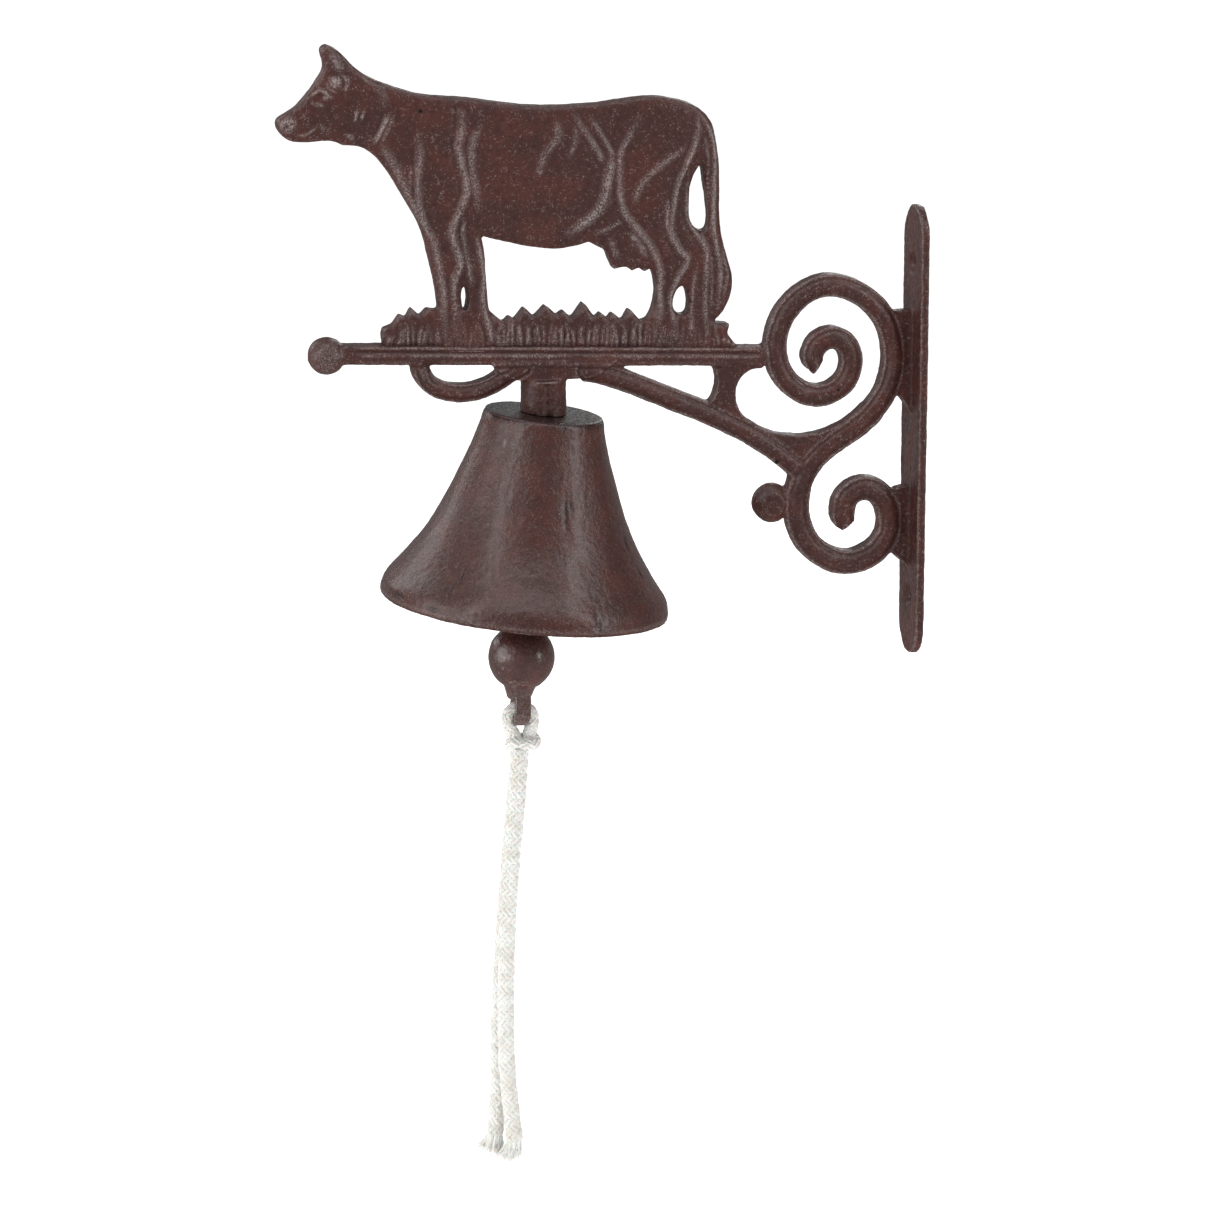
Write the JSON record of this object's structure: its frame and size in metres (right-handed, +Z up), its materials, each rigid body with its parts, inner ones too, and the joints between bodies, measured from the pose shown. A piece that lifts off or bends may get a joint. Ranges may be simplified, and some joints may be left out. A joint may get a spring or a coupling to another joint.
{
  "type": "wall mounted bell",
  "caption": "Cast iron wall bell on a scrolled arm with a standing cow on top, a clapper inside and a doubled cotton pull cord.",
  "frame": {"origin": "centre of the wall plate's back face, which lies on the wall", "axes": "+X points into the wall and the arm reaches out along -X; +Z is up; Y is across the plate"},
  "size_m": [0.2265, 0.1006, 0.4031],
  "materials": {
    "painted_iron": "dark red-brown satin paint over sand-cast iron",
    "bell_paint": "the same paint, a little glossier on a smoother casting",
    "clapper_paint": "the same paint on a small rough casting",
    "dull_steel": "dull zinc-plated steel",
    "cotton_cord": "off-white braided cotton",
    "frayed_cotton": "loose off-white cotton fibres"
  },
  "bodies": {
    "bracket": {"wall_plate": "painted_iron", "upper_scroll": "painted_iron", "scroll_neck": "painted_iron", "lower_scroll": "painted_iron", "upper_web": "painted_iron", "lower_web": "painted_iron", "arm_brace": "painted_iron", "arm_post": "painted_iron", "top_bar": "painted_iron", "scroll_gusset": "painted_iron", "bar_finial": "painted_iron", "front_curl": "painted_iron", "boss_pad": "painted_iron", "bell_boss": "painted_iron", "scroll_bud": "painted_iron", "grass_strip": "painted_iron", "cow_figure": "painted_iron", "bell": "bell_paint", "crown_washer": "dull_steel", "hanger_nut": "dull_steel", "hanger_bolt": "dull_steel"},
    "link": {"clapper_link": "dull_steel"},
    "clapper": {"clapper_rod": "dull_steel", "clapper_ball": "clapper_paint"},
    "cord": {"cord_hitch": "cotton_cord", "cord_front_leg": "cotton_cord", "cord_back_leg": "cotton_cord", "cord_front_tuft": "frayed_cotton", "cord_back_tuft": "frayed_cotton"}
  },
  "joints": [
    {"name": "link_swing", "type": "hinge", "parent": "bracket", "child": "link", "pos_m": [-0.13789, 0, -0.01802], "axis": [0, 1, 0], "range_deg": [-34, 37]},
    {"name": "clapper_swing", "type": "hinge", "parent": "link", "child": "clapper", "pos_m": [-0.13928, 0, -0.02519], "axis": [0.9973, 0, -0.0732], "range_deg": [-16, 16]},
    {"name": "cord_swing", "type": "hinge", "parent": "clapper", "child": "cord", "pos_m": [-0.14344, 0, -0.09401], "axis": [0.9973, 0, -0.0732], "range_deg": [-45, 45]}
  ]
}
